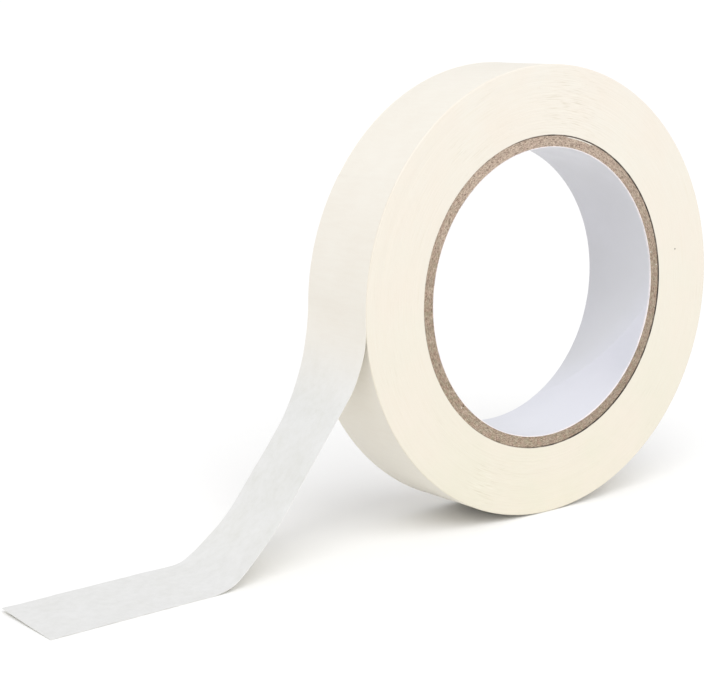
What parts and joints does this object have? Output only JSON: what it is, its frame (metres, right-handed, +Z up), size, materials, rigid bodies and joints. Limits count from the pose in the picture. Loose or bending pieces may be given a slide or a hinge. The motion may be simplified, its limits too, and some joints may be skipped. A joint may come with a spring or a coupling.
{
  "type": "masking tape roll",
  "caption": "Roll of crepe paper masking tape wound on a spiral chipboard core, standing on its rim with its free end pulled down and laid flat.",
  "frame": {"origin": "centre of the core's bore, halfway across its width", "axes": "+Y along the roll's axis, towards the back; +Z up; the free end hangs and lies on the -X side; the surface it stands on is at z = -59.4 mm"},
  "size_m": [0.2087, 0.0242, 0.1188],
  "materials": {
    "core_liner": "glossy white paper lining, slightly cool",
    "core_chipboard": "raw grey brown chipboard",
    "wound_tape": "matt cream crepe paper, fine layer lines on its sides",
    "tape_backing": "matt crepe paper, slightly see-through",
    "tape_adhesive": "thin tacky film, satin"
  },
  "bodies": {
    "tail_root": {"tail_root_backing": "tape_backing", "tail_root_adhesive": "tape_adhesive"},
    "roll": {"core_liner": "core_liner", "core_ply_1": "core_chipboard", "core_ply_2": "core_chipboard", "core_ply_3": "core_chipboard", "core_ply_4": "core_chipboard", "core_ply_5": "core_chipboard", "wound_tape": "wound_tape"},
    "tail_span": {"tail_span_backing": "tape_backing", "tail_span_adhesive": "tape_adhesive"},
    "tail_end": {"tail_end_backing": "tape_backing", "tail_end_adhesive": "tape_adhesive"}
  },
  "joints": [
    {"name": "unwind", "type": "hinge", "parent": "tail_root", "child": "roll", "pos_m": [0, 0, 0], "axis": [0, -1, 0], "continuous": true},
    {"name": "tail_swing", "type": "hinge", "parent": "tail_root", "child": "tail_span", "pos_m": [-0.05946, 0, 0.00249], "axis": [0, 1, 0], "range_deg": [0, 110], "stiffness_Nm_per_rad": 0.0002},
    {"name": "tail_bend", "type": "hinge", "parent": "tail_span", "child": "tail_end", "pos_m": [-0.09784, 0, -0.0569], "axis": [0, 1, 0], "range_deg": [0, 100], "stiffness_Nm_per_rad": 0.0002}
  ]
}
